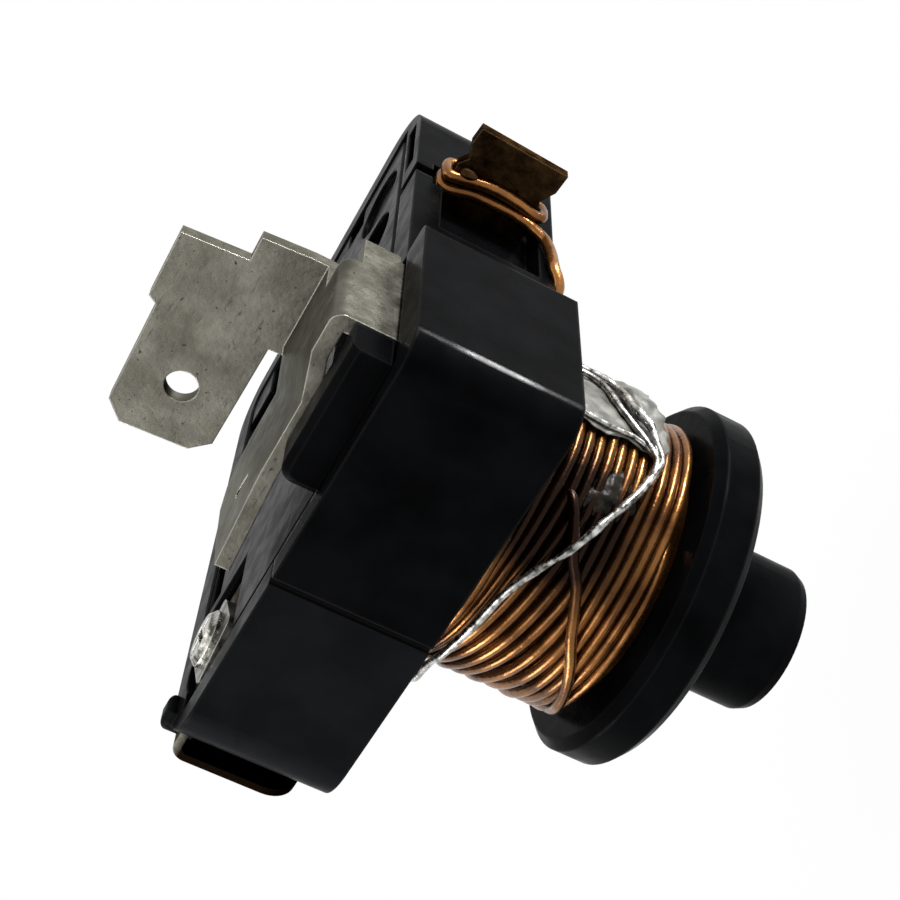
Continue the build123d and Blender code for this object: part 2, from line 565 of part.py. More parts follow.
# Socket clips, rolled from sheet with an open slit below
for name, clip_x in [("run_socket_clip", RUN_PIN_X), ("start_socket_clip", START_PIN_X)]:
    clip_rear = CLIP_FRONT + CLIP_LENGTH
    tube = along_y(CLIP_RADIUS, clip_x, CLIP_Z, CLIP_FRONT, clip_rear)
    tube = chamfer(tube.edges().group_by(Axis.Y)[-1], 0.2)
    tube -= along_y(PIN_RADIUS, clip_x, CLIP_Z, CLIP_FRONT, clip_rear)
    slit_half = CLIP_SLIT / 2
    tube -= span(clip_x - slit_half, clip_x + slit_half, CLIP_FRONT, clip_rear, CLIP_Z - CLIP_RADIUS, CLIP_Z)
    pieces[name] = tube

# End terminal: a blade outside the end wall and a leg through it, clamped under the screw
END_OUTER = -15.1
END_BLADE_BOTTOM = CASE_BOTTOM + 0.84
END_BEND = 0.4
END_LEG_TOP = END_LEG_BOTTOM + THIN_SHEET
SCREW_CLEARANCE = 0.15
SCREW_RADIUS = 0.95
end_blade = span(END_OUTER, END_OUTER + THIN_SHEET, END_FRONT, END_LEG_REAR, END_BLADE_BOTTOM, END_LEG_TOP)
lower_corner = end_blade.edges().filter_by(Axis.X).group_by(Axis.Z)[0].sort_by(Axis.Y)
end_blade = fillet(lower_corner[0], 1.8)
lower_corner = end_blade.edges().filter_by(Axis.X).group_by(Axis.Z)[0].sort_by(Axis.Y)
end_blade = fillet(lower_corner[-1], 0.8)
end_leg = span(END_OUTER, END_LEG_INNER, END_FRONT, END_LEG_REAR, END_LEG_BOTTOM, END_LEG_TOP)
end_terminal = end_blade + end_leg
bend = end_terminal.edges().filter_by(Axis.Y)
inner_bend = bend.filter_by(lambda e: abs(e.center().X - END_OUTER - THIN_SHEET) < 0.02)
end_terminal = fillet(inner_bend.filter_by(lambda e: abs(e.center().Z - END_LEG_BOTTOM) < 0.02), END_BEND)
bend = end_terminal.edges().filter_by(Axis.Y)
bend = bend.filter_by(lambda e: abs(e.center().X - END_OUTER) < 0.02 and e.center().Z > END_LEG_TOP - 0.05)
end_terminal = fillet(bend, END_BEND + THIN_SHEET)
end_terminal -= upright(SCREW_RADIUS + SCREW_CLEARANCE, SCREW_X, SCREW_Y, END_LEG_BOTTOM, END_LEG_TOP)
pieces["end_terminal"] = end_terminal

# Clamp washer, screw and threaded insert of the end terminal
WASHER_SIDE = 3.7
WASHER_THICKNESS = 0.5
WASHER_TURN = 24
HEAD_RADIUS = 1.5
HEAD_HEIGHT = 0.6
RECESS_LENGTH = 1.9
RECESS_WIDTH = 0.45
RECESS_DEPTH = 0.4
SCREW_LENGTH = 4.4
washer_top = END_LEG_TOP + WASHER_THICKNESS
washer_box = Box(WASHER_SIDE, WASHER_SIDE, WASHER_THICKNESS)
washer_box = fillet(washer_box.edges().filter_by(Axis.Z), 0.4)
washer = Pos(SCREW_X, SCREW_Y, END_LEG_TOP + WASHER_THICKNESS / 2) * Rot(0, 0, WASHER_TURN) * washer_box
washer -= upright(SCREW_RADIUS + SCREW_CLEARANCE, SCREW_X, SCREW_Y, END_LEG_TOP, washer_top)
pieces["clamp_washer"] = washer
head = upright(HEAD_RADIUS, SCREW_X, SCREW_Y, washer_top, washer_top + HEAD_HEIGHT)
head = chamfer(head.edges().group_by(Axis.Z)[-1], 0.3)
for turn in (0, 90):
    slot_place = Pos(SCREW_X, SCREW_Y, washer_top + HEAD_HEIGHT) * Rot(0, 0, WASHER_TURN + turn)
    head -= slot_place * Box(RECESS_LENGTH, RECESS_WIDTH, 2 * RECESS_DEPTH)
shank = upright(SCREW_RADIUS, SCREW_X, SCREW_Y, washer_top - SCREW_LENGTH, washer_top)
pieces["terminal_screw"] = head + chamfer(shank.edges().group_by(Axis.Z)[0], 0.3)
insert = upright(INSERT_RADIUS, SCREW_X, SCREW_Y, END_LEG_BOTTOM - INSERT_LENGTH, END_LEG_BOTTOM)
insert -= upright(SCREW_RADIUS, SCREW_X, SCREW_Y, END_LEG_BOTTOM - INSERT_LENGTH + 0.6, END_LEG_BOTTOM)
pieces["screw_insert"] = insert

# Plunger group: landing pad, iron plunger, push rod with its collar, and the retaining clip
PLUNGER_RADIUS = WELL_RADIUS - RUNNING_FIT
ROD_TIP_ABOVE_CLIP = 0.3
CLIP_THICKNESS = 0.5
CLIP_ABOVE_BRIDGE = 0.05
ROD_SEAT_DEPTH = 4.0
rod_clip_bottom = BRIDGE_TOP + CLIP_ABOVE_BRIDGE
rod_clip_top = rod_clip_bottom + CLIP_THICKNESS
rod_top = rod_clip_top + ROD_TIP_ABOVE_CLIP
pieces["landing_pad"] = upright(WELL_RADIUS - 0.2, 0, 0, WELL_FLOOR, PLUNGER_BOTTOM)
plunger = upright(PLUNGER_RADIUS, 0, 0, PLUNGER_BOTTOM, PLUNGER_TOP)
plunger = chamfer(plunger.edges().group_by(Axis.Z)[0], 0.4)
plunger = chamfer(plunger.edges().group_by(Axis.Z)[-1], 0.4)
pieces["iron_plunger"] = plunger - upright(ROD_RADIUS, 0, 0, PLUNGER_TOP - ROD_SEAT_DEPTH, PLUNGER_TOP)
rod = upright(ROD_RADIUS, 0, 0, PLUNGER_TOP - ROD_SEAT_DEPTH, rod_top)
rod = chamfer(rod.edges().group_by(Axis.Z)[-1], 0.2)
rod += upright(COLLAR_RADIUS, 0, 0, COLLAR_TOP - COLLAR_THICKNESS, COLLAR_TOP)
CLIP_GROOVE = 0.25
groove = upright(ROD_RADIUS, 0, 0, rod_clip_bottom, rod_clip_top)
groove -= upright(ROD_RADIUS - CLIP_GROOVE, 0, 0, rod_clip_bottom, rod_clip_top)
pieces["push_rod"] = rod - groove
clip = upright(1.7, 0, 0, rod_clip_bottom, rod_clip_top)
clip -= upright(ROD_RADIUS - CLIP_GROOVE, 0, 0, rod_clip_bottom, rod_clip_top)
pieces["rod_clip"] = clip - span(-0.55, 0.55, 0, 1.8, rod_clip_bottom, rod_clip_top)

# Contact bridge that slides on the rod, its two contact tips and the pressure spring
bar = span(-BRIDGE_HALF_LENGTH, BRIDGE_HALF_LENGTH, -BRIDGE_HALF_WIDTH, BRIDGE_HALF_WIDTH, BRIDGE_BOTTOM, BRIDGE_TOP)
bar = fillet(bar.edges().filter_by(Axis.Z), 1.2)
pieces["contact_bridge"] = bar - upright(ROD_RADIUS + RUNNING_FIT, 0, 0, BRIDGE_BOTTOM, BRIDGE_TOP)
tips = Part()
for side in (-1, 1):
    tip = upright(CONTACT_RADIUS, side * CONTACT_X, 0, BRIDGE_TOP, TIP_TOP)
    tips += chamfer(tip.edges().group_by(Axis.Z)[-1], CONTACT_EDGE)
pieces["bridge_contacts"] = tips
spring_height = SPRING_LENGTH - 2 * SPRING_WIRE
coil_path = Pos(0, 0, COLLAR_TOP + SPRING_WIRE) * Helix(spring_height / SPRING_TURNS, spring_height, SPRING_RADIUS)
coil_start = Plane(origin=coil_path @ 0, z_dir=coil_path % 0)
pieces["contact_spring"] = sweep(coil_start * RegularPolygon(SPRING_WIRE, 4), path=coil_path, is_frenet=True)

# Copper lead: it leaves the coil, climbs through the pocket and turns round the terminal's neck
lead_front = RUN_PLATE_FRONT - COPPER_WIRE - TOUCH
lead_rear = RUN_PLATE_FRONT + SHEET + COPPER_WIRE + TOUCH
lead_over = RUN_PLATE_TOP + COPPER_WIRE + TOUCH
lead_under = RUN_PLATE_BOTTOM - COPPER_WIRE - TOUCH
LEAD_END_X = RECESSED_RIGHT + 0.75
lead_end_z = RUN_PLATE_TOP - 0.2
lead_points = [
    (WINDING_RADIUS + 0.3, 2.4, CASE_BOTTOM - COPPER_WIRE - 0.35),
    (RECESSED_RIGHT - 1.0, 4.6, CASE_BOTTOM - COPPER_WIRE - TOUCH),
    (RECESSED_RIGHT + 0.1, 6.6, CASE_BOTTOM - COPPER_WIRE - TOUCH),
    (RECESSED_RIGHT + COPPER_WIRE + TOUCH, 8.3, CASE_BOTTOM + 0.25),
    (RECESSED_RIGHT + COPPER_WIRE, lead_front, CASE_BOTTOM + 1.6),
    (RECESSED_RIGHT - 0.1, lead_front, (RUN_PLATE_BOTTOM + RUN_PLATE_TOP) / 2),
    (RECESSED_RIGHT - 0.3, lead_front, lead_over),
    (RECESSED_RIGHT - 0.1, lead_rear, lead_over),
    (RECESSED_RIGHT + 0.35, lead_rear, lead_under),
    (RECESSED_RIGHT + 0.5, lead_front, lead_under),
    (LEAD_END_X, lead_front, lead_end_z),
]
lead_radii = [1.0, 1.0, 1.0, 1.0, 1.0, WIRE_BEND, WIRE_BEND, WIRE_BEND, WIRE_BEND]
pieces["coil_lead"] = round_wire(lead_points, lead_radii, COPPER_WIRE)

# Drop of solder that fixes the end of the copper lead
SOLDER_RADIUS = 0.4
SOLDER_HEIGHT = 1.1
solder_x = LEAD_END_X + COPPER_WIRE
solder_place = Pos(solder_x, lead_front, lead_end_z - SOLDER_HEIGHT)
solder = extrude(solder_place * RegularPolygon(SOLDER_RADIUS, WIRE_SIDES), SOLDER_HEIGHT)
pieces["solder_joint"] = solder - pieces["coil_lead"] - pieces["run_terminal"]

# Tinned lead: it crosses the front of the coil and rises to the screw insert
TINNED_PATH_RADIUS = WINDING_RADIUS + BAND_THICKNESS + TINNED_WIRE + TOUCH
TINNED_BEND = 2.0
TINNED_END_BEND = 0.8
TINNED_TURNS = [
    (25, 0.66),
    (2, 0.4),
    (-20, 0.28),
    (-42, 0.43),
    (-60, 0.66),
    (-78, 0.79),
    (-98, 0.82),
    (-118, 0.82),
    (-136, 0.78),
]
tinned_points = []
for angle, share_of_height in TINNED_TURNS:
    turn = math.radians(angle)
    reach_out = TINNED_PATH_RADIUS / math.cos(math.radians(11))
    level = FLANGE_TOP + share_of_height * WINDING_SPACE
    tinned_points.append((reach_out * math.cos(turn), reach_out * math.sin(turn), level))
tinned_points.append((LEAD_X, LEAD_Y, FLANGE_TOP + 0.82 * WINDING_SPACE))
tinned_points.append((LEAD_X, LEAD_Y, LEAD_TOP))
tinned_radii = [TINNED_BEND] * (len(TINNED_TURNS) - 2) + [TINNED_END_BEND, WIRE_BEND]
pieces["tinned_lead"] = round_wire(tinned_points, tinned_radii, TINNED_WIRE)

os.makedirs("parts", exist_ok=True)
for name, solid in pieces.items():
    solid.label = name
    export_step(solid, "parts/" + name + ".step")
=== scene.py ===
# %% [markdown]
# A compressor start relay, dressed for its picture.
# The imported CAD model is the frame: it says where every piece is and how it moves. This script adds
# what a drawing leaves out, such as wound wire, dull plating, softened edges and light.

# %% Load the frame
import json
import math
import bpy
import mathutils
import numpy as np
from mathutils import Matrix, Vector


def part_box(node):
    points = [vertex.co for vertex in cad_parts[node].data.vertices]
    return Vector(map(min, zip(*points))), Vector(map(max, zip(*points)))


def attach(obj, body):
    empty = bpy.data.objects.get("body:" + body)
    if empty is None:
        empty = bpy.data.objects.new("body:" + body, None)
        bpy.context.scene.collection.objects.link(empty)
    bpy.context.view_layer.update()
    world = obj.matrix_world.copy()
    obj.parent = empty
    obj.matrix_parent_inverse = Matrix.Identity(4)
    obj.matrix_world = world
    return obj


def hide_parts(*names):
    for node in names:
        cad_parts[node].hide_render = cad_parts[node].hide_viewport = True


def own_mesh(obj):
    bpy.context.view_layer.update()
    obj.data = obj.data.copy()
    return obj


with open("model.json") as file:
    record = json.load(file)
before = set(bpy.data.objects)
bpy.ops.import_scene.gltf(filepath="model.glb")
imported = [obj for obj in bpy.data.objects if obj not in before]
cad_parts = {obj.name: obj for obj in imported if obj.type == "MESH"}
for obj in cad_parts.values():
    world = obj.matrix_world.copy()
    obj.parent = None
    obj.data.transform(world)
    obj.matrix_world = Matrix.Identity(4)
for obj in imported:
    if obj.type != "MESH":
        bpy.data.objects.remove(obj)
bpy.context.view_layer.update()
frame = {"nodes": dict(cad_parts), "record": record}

MM = 0.001

# %% [markdown]
# The view. The camera was solved from the straight edges of the black mouldings, so it is written as
# a place, a line of sight and the direction that points up in the picture. The relay lies on its
# side there, which is why the picture's up is not the relay's +Z.

# %% Camera
CAMERA_PLACE = np.array([45.6, -77.3, 41.8]) * MM
LINE_OF_SIGHT = np.array([-0.475, 0.8485, -0.2334])
PICTURE_UP = np.array([0.7398, 0.5286, 0.4162])
LENS_MM, SENSOR_MM = 72.79, 36.0
SEES_FROM_MM = 5.0


def unit(vector):
    """A vector divided by its own length."""
    return np.asarray(vector, float) / np.linalg.norm(vector)


def matrix_of(x_axis, y_axis, z_axis, place):
    """A placing matrix whose columns are three axes and a place."""
    table = np.eye(4)
    table[:3, 0], table[:3, 1], table[:3, 2], table[:3, 3] = x_axis, y_axis, z_axis, place
    return [list(row) for row in table]


sight = unit(LINE_OF_SIGHT)
picture_right = unit(np.cross(sight, PICTURE_UP))
picture_up = np.cross(picture_right, sight)
camera_data = bpy.data.cameras.new("camera")
camera_data.lens = LENS_MM
camera_data.sensor_width = SENSOR_MM
camera_data.clip_start = SEES_FROM_MM * MM
camera = bpy.data.objects.new("camera", camera_data)
bpy.context.scene.collection.objects.link(camera)
camera.matrix_world = mathutils.Matrix(matrix_of(picture_right, picture_up, -sight, CAMERA_PLACE))
bpy.context.scene.camera = camera
print("camera looks along", sight.round(3))

# %% [markdown]
# Light. A black moulding shows its shape only by what it mirrors, so a few soft cards are hung where
# the picture shows sheens. The key stands off the +X side and is small, so it draws a row of sparks
# down the wound wire. Others light the front, the cover and the coil's left side, and a very small one
# behind the right side draws the bright line along the corner of the case.

# %% Lamps
scene = bpy.context.scene
scene.view_settings.view_transform = "Standard"
AIM = np.array([0.0, 2.0, 18.0]) * MM
NEARLY_UP = (0.02, 0.01, 1.0)
LAMPS = {  # name: direction from the aim, distance in mm, size in mm, watts
    "key_card": ((0.95, 0.28, 0.12), 320, 65, 1.8),
    "front_card": (-0.5 * picture_up - 0.5 * picture_right - 0.8 * sight, 380, 220, 0.5),
    "top_card": (-0.9 * picture_right + 0.3 * picture_up - 0.15 * sight, 300, 200, 0.25),
    "left_card": ((-0.85, -0.45, 0.12), 320, 130, 0.7),
    "corner_card": ((90.2, 60.3, -20.8), 111, 14, 0.04),
}


def lamp(name, direction, distance_mm, size_mm, watts):
    """A square area lamp that stands off from the relay along a direction and faces it."""
    data = bpy.data.lights.new(name, "AREA")
    data.energy, data.size = watts, size_mm * MM
    away = unit(direction)
    side = unit(np.cross(NEARLY_UP, away))
    place = AIM + away * distance_mm * MM
    rig = bpy.data.objects.new(name, data)
    rig.matrix_world = mathutils.Matrix(matrix_of(side, np.cross(away, side), away, place))
    scene.collection.objects.link(rig)


for name, values in LAMPS.items():
    lamp(name, *values)

# %% [markdown]
# The room. A picture on white needs a white world, but white light from all round would fade every
# shadow. A ray knows what it was sent for, so the world is white to the camera, to mirrors and to
# glass, and dimmer to the rest. The floor asks the rays the same question further down.

# %% World
SEEN_STRENGTH, SHINING_STRENGTH = 1.0, 0.35
WHITE = (1, 1, 1, 1)


def combine(tree, operation, first, second):
    """What one Math node makes of two values."""
    node = tree.nodes.new("ShaderNodeMath")
    node.operation = operation
    tree.links.new(first, node.inputs[0])
    tree.links.new(second, node.inputs[1])
    return node.outputs[0]


def ray_mask(tree, first_kind, *other_kinds):
    """One where the ray is of one of these kinds, and zero for the rest."""
    rays = tree.nodes.new("ShaderNodeLightPath")
    mask = rays.outputs[first_kind]
    for kind in other_kinds:
        mask = combine(tree, "MAXIMUM", mask, rays.outputs[kind])
    return mask


def mix_shaders(tree, mask, first, second):
    """The first shader, and the second where the mask is one."""
    blend = tree.nodes.new("ShaderNodeMixShader")
    tree.links.new(mask, blend.inputs[0])
    tree.links.new(first, blend.inputs[1])
    tree.links.new(second, blend.inputs[2])
    return blend.outputs[0]


world = bpy.data.worlds.new("white_room")
scene.world = world
world.use_nodes = True
room = world.node_tree
room.nodes.clear()
shining, seen = (room.nodes.new("ShaderNodeBackground") for _ in range(2))
for background, strength in ((shining, SHINING_STRENGTH), (seen, SEEN_STRENGTH)):
    background.inputs["Color"].default_value = WHITE
    background.inputs["Strength"].default_value = strength
any_view = ray_mask(room, "Is Camera Ray", "Is Glossy Ray", "Is Transmission Ray")
out = room.nodes.new("ShaderNodeOutputWorld")
picked = mix_shaders(room, any_view, shining.outputs[0], seen.outputs[0])
room.links.new(picked, out.inputs["Surface"])
print("world strengths:", SEEN_STRENGTH, "seen and", SHINING_STRENGTH, "shining")

# %% [markdown]
# Patterns. Old plastic and plated steel are never one even colour, so every finish starts from
# patterns on Object coordinates: clouds, pits and scratches. They could be painted, but a formula
# stays sharp at any size. As each mesh keeps its place in its points, the patterns stay on the metal.

# %% Clouds, thresholds and mixes
MATERIALS = {}


def clouds(tree, size_mm, detail=4, stretch=(1, 1, 1), turn=(0, 0, 0)):
    """Noise from 0 to 1 whose blobs have one size, stretched and turned on Object coordinates."""
    where = tree.nodes.new("ShaderNodeTexCoord")
    place = tree.nodes.new("ShaderNodeMapping")
    place.inputs["Scale"].default_value = stretch
    place.inputs["Rotation"].default_value = turn
    node = tree.nodes.new("ShaderNodeTexNoise")
    node.inputs["Scale"].default_value = 1 / (size_mm * MM)
    node.inputs["Detail"].default_value = detail
    tree.links.new(where.outputs["Object"], place.inputs["Vector"])
    tree.links.new(place.outputs["Vector"], node.inputs["Vector"])
    return node.outputs["Fac"]


def spread(tree, value, from_low, from_high, to_low=0.0, to_high=1.0):
    """The value moved from one range to another and held at its ends."""
    node = tree.nodes.new("ShaderNodeMapRange")
    ends = {"From Min": from_low, "From Max": from_high, "To Min": to_low, "To Max": to_high}
    for end, number in ends.items():
        node.inputs[end].default_value = number
    tree.links.new(value, node.inputs["Value"])
    return node.outputs["Result"]


def toward(tree, base, colour, mask):
    """The base colour, and the second colour where the mask is one."""
    node = tree.nodes.new("ShaderNodeMix")
    node.data_type = "RGBA"
    tree.links.new(mask, node.inputs[0])
    tree.links.new(base, node.inputs[6])
    node.inputs[7].default_value = (*colour, 1)
    return node.outputs[2]


print("patterns ready")

# %% [markdown]
# Edges. A moulded edge is a little round and a stamped edge has a bright burr. The Bevel node looks at
# the surface round each point and gives a normal that turns over the edge, and where that normal leaves
# the true one there is an edge. There a lighter colour can be laid on, which stands for worn edges and
# burrs and also for painted highlights on the rims. It works on the plain CAD triangles, which stay as
# they are.

# %% Soft edges
EDGE_SAMPLES = 6
EDGE_BEGINS, EDGE_FULL = 0.99, 0.86


def soft_edge(tree, width_mm):
    """The rounded normal, and a mask from the likeness of it to the true normal, which is the cosine
    of the angle between them: the mask is zero at 0.99 and one at 0.86."""
    rounding = tree.nodes.new("ShaderNodeBevel")
    rounding.samples = EDGE_SAMPLES
    rounding.inputs["Radius"].default_value = width_mm * MM
    flat = tree.nodes.new("ShaderNodeNewGeometry")
    likeness = tree.nodes.new("ShaderNodeVectorMath")
    likeness.operation = "DOT_PRODUCT"
    tree.links.new(rounding.outputs["Normal"], likeness.inputs[0])
    tree.links.new(flat.outputs["Normal"], likeness.inputs[1])
    edge = spread(tree, likeness.outputs["Value"], EDGE_BEGINS, EDGE_FULL)
    return rounding.outputs["Normal"], edge


print("edges ready")

# %% [markdown]
# Marks at one place. The polish left by handling is not spread evenly over the real relay, and neither
# is a spot of painted shade or a darkening below a height. Such a mark could be painted on an image, but
# it is simpler to measure where the point lies: how far it is from a spot, or how high it is along a
# direction.

# %% Marks at one place
UP = (0.0, 0.0, 1.0)
POLISH_HEIGHTS_MM = ((21.0, 22.4), (25.6, 24.2))
POLISH_ELSEWHERE = 0.08
POLISH_GLOSS = 0.3


def measure(tree, operation, against):
    """The DISTANCE of the point from a place, or its DOT_PRODUCT with a direction, in metres."""
    where = tree.nodes.new("ShaderNodeTexCoord")
    node = tree.nodes.new("ShaderNodeVectorMath")
    node.operation = operation
    node.inputs[1].default_value = against
    tree.links.new(where.outputs["Object"], node.inputs[0])
    return node.outputs["Value"]


def crest_gloss(tree, crest, plain_gloss):
    """The gloss of a rubbed corner. It grows from the plain gloss to the polish between two levels
    along a direction, in full only halfway up the case and at 0.08 of it above and below."""
    direction, plain_mm, polished_mm = crest
    along = measure(tree, "DOT_PRODUCT", direction)
    height = measure(tree, "DOT_PRODUCT", UP)
    polish = spread(tree, along, plain_mm * MM, polished_mm * MM)
    for faint_mm, full_mm in POLISH_HEIGHTS_MM:
        part = spread(tree, height, faint_mm * MM, full_mm * MM, POLISH_ELSEWHERE, 1.0)
        polish = combine(tree, "MULTIPLY", polish, part)
    return spread(tree, polish, 0, 1, plain_gloss, POLISH_GLOSS)


print("a corner is polished between the heights", POLISH_HEIGHTS_MM, "mm")

# %% [markdown]
# The recipe. A base colour drifts with the clouds, roughness drifts with finer ones, and a bump gives
# the grain. Pits and scratches are laid over it as masks, each only where the real one has them. Lighter
# edges, which are partly painted highlights, a darker colour below a height and a spot of painted shade
# are laid on in the same way.

# %% A finish recipe
DARK_UNTIL, LIGHT_FROM = 0.35, 0.65
PIT_MASK = (0.665, 0.73)
SCRATCH_MASK = (0.665, 0.71, 0.0, 0.8)
SCRATCH_MM, SCRATCH_STRETCH = 1.1, (0.9, 6, 6)
SCRATCH_TURNS = ((0.3, 0.5, 0.9), (1.2, 0.2, 2.3))
GLOSS_DRIFT, GLOSS_SHARE = (0.3, 0.7), 0.4
RELIEF_MM = 0.05


def finish(name, dark, light, grain_mm, rough, metallic=0.0, bump=0.1, bump_mm=0.3, specular=0.5,
           tint=None, coat=0.0, edge_mm=0.0, bright_edge_and_highlight=None, pit_colour=None, pit_mm=0.25,
           scratch_colour=None, darker_below=None, crest=None, painted_shade_spot=None):
    """A material from its two colours, the size of its clouds, its range of roughness and its marks. A
    darker colour below a height is given with the height in mm where it ends and the height where it is
    full. A crest is a direction with two levels in mm along it, between which the gloss grows. Painted
    shade is a colour, a place and two distances from it, in mm: it is full up to the first and gone at
    the second. The edge colour stands for worn edges and burrs, and also for painted highlights on them."""
    material = bpy.data.materials.new(name)
    material.use_nodes = True
    tree = material.node_tree
    shader = tree.nodes["Principled BSDF"]
    ramp = tree.nodes.new("ShaderNodeValToRGB")
    for stop, place, tone in zip(ramp.color_ramp.elements, (DARK_UNTIL, LIGHT_FROM), (dark, light)):
        stop.position, stop.color = place, (*tone, 1)
    tree.links.new(clouds(tree, grain_mm), ramp.inputs["Fac"])
    colour = ramp.outputs["Color"]
    if pit_colour:
        colour = toward(tree, colour, pit_colour, spread(tree, clouds(tree, pit_mm, 3), *PIT_MASK))
    if scratch_colour:
        for turn in SCRATCH_TURNS:
            lines = clouds(tree, SCRATCH_MM, 2, SCRATCH_STRETCH, turn)
            colour = toward(tree, colour, scratch_colour, spread(tree, lines, *SCRATCH_MASK))
    # Below a given height the colour goes over to a darker one.
    if darker_below:
        darker_colour, end_mm, full_mm = darker_below
        height = measure(tree, "DOT_PRODUCT", UP)
        darker_mask = spread(tree, height, end_mm * MM, full_mm * MM)
        colour = toward(tree, colour, darker_colour, darker_mask)
    # Painted shade: the colour goes darker round one place, where shade falls on the coil by the
    # crossing strand.
    if painted_shade_spot:
        painted_shade_colour, spot_mm, full_mm, gone_mm = painted_shade_spot
        away = measure(tree, "DISTANCE", [v * MM for v in spot_mm])
        painted_shade_mask = spread(tree, away, gone_mm * MM, full_mm * MM)
        colour = toward(tree, colour, painted_shade_colour, painted_shade_mask)
    relief = tree.nodes.new("ShaderNodeBump")
    relief.inputs["Strength"].default_value = bump
    relief.inputs["Distance"].default_value = RELIEF_MM * MM
    tree.links.new(clouds(tree, bump_mm, 6), relief.inputs["Height"])
    if edge_mm:
        round_normal, edge = soft_edge(tree, edge_mm)
        tree.links.new(round_normal, relief.inputs["Normal"])
        # The edge colour is partly wear and burrs and partly painted highlight on the rims.
        if bright_edge_and_highlight:
            colour = toward(tree, colour, bright_edge_and_highlight, edge)
    drift = spread(tree, clouds(tree, grain_mm * GLOSS_SHARE, 5), *GLOSS_DRIFT, *rough)
    tree.links.new(colour, shader.inputs["Base Color"])
    tree.links.new(drift, shader.inputs["Roughness"])
    tree.links.new(relief.outputs["Normal"], shader.inputs["Normal"])
    shader.inputs["Metallic"].default_value = metallic
    shader.inputs["Specular IOR Level"].default_value = specular
    shader.inputs["Coat Weight"].default_value = coat
    if tint:
        shader.inputs["Specular Tint"].default_value = (*tint, 1)
    if crest:
        gloss = crest_gloss(tree, crest, specular)
        tree.links.new(gloss, shader.inputs["Specular IOR Level"])
    MATERIALS[name] = material


print("recipe ready, with a relief of", RELIEF_MM, "mm")

# %% [markdown]
# The black moulding is a hard thermoset: nearly black, polished where the mould was, dusty and scuffed
# where hands were. Its gloss is kept low, because it should mirror a lamp and not the whole room. Only
# one long corner of each moulding is rubbed bright. Its edges are a little lighter, partly for scuffs
# and partly as painted highlights on the rims.

# %% Black moulding
finish("black_moulding", (0.0010, 0.0011, 0.0013), (0.0026, 0.0028, 0.0032), 3.0, (0.20, 0.36),
       bump=0.10, bump_mm=0.25, specular=0.009, edge_mm=0.22, bright_edge_and_highlight=(0.009, 0.009, 0.009),
       crest=((0.985, -0.174, 0.0), 13.838, 13.852))
finish("grey_moulding", (0.0040, 0.0043, 0.0050), (0.0062, 0.0066, 0.0075), 3.0, (0.25, 0.40),
       bump=0.10, bump_mm=0.25, specular=0.011, edge_mm=0.22, bright_edge_and_highlight=(0.012, 0.012, 0.012),
       crest=((-0.889, -0.457, 0.0), 15.93, 15.99))
print("mouldings ready:", sorted(MATERIALS))

# %% [markdown]
# The terminals are stamped from steel or brass sheet and dip tinned. Tin goes dull and grows small dark
# pits, and the punch leaves a bright burr along each edge, whose lighter colour is partly painted
# highlight. A dull skin also takes the white out of what the metal mirrors at a low angle, so some of
# these have a dark specular tint. On the plated sheet that tint is also painted shade, for faces that
# lie in shadow.

# %% Plated sheet, steel and brass
# The plated sheet's dark specular tint is partly painted shade.
finish("plated_sheet", (0.090, 0.087, 0.070), (0.150, 0.145, 0.121), 2.2, (0.30, 0.46),
       metallic=1.0, bump=0.35, bump_mm=0.3, tint=(0.5, 0.5, 0.48),
       edge_mm=0.10, bright_edge_and_highlight=(0.34, 0.33, 0.29), pit_colour=(0.035, 0.032, 0.026), pit_mm=0.24,
       scratch_colour=(0.07, 0.066, 0.055))
finish("end_blade", (0.11, 0.10, 0.08), (0.30, 0.29, 0.25), 1.0, (0.30, 0.46),
       metallic=1.0, bump=0.3, bump_mm=0.3, tint=(0.2, 0.18, 0.16),
       edge_mm=0.08, darker_below=((0.007, 0.0045, 0.003), 27.0, 26.3))
finish("plated_steel", (0.16, 0.15, 0.12), (0.42, 0.41, 0.36), 0.8, (0.24, 0.40),
       metallic=1.0, bump=0.3, bump_mm=0.3,
       edge_mm=0.08, bright_edge_and_highlight=(0.75, 0.74, 0.68), pit_colour=(0.05, 0.045, 0.035), pit_mm=0.4)
finish("screw_steel", (0.045, 0.042, 0.034), (0.60, 0.59, 0.53), 0.45, (0.18, 0.38),
       metallic=1.0, bump=0.8, bump_mm=0.25,
       edge_mm=0.12, bright_edge_and_highlight=(0.80, 0.79, 0.72), pit_colour=(0.03, 0.027, 0.02), pit_mm=0.3)
finish("washer_steel", (0.03, 0.029, 0.025), (0.22, 0.215, 0.19), 0.8, (0.28, 0.48),
       metallic=1.0, bump=0.5, bump_mm=0.3, edge_mm=0.08, bright_edge_and_highlight=(0.35, 0.34, 0.30))
finish("brass_part", (0.30, 0.18, 0.07), (0.52, 0.36, 0.15), 2.0, (0.28, 0.42), metallic=1.0)
finish("contact_metal", (0.50, 0.50, 0.48), (0.70, 0.70, 0.68), 1.0, (0.2, 0.35), metallic=1.0)
print("metals ready:", [name for name in MATERIALS if "moulding" not in name])

# %% [markdown]
# The coil's wire is copper under a clear brown enamel, which gives it a thin gloss of its own, and near
# the crossing strand a darker spot is painted in as shade. The bare lead was brushed with solder: dull
# grey in the hollows and mirror bright on the ridges.

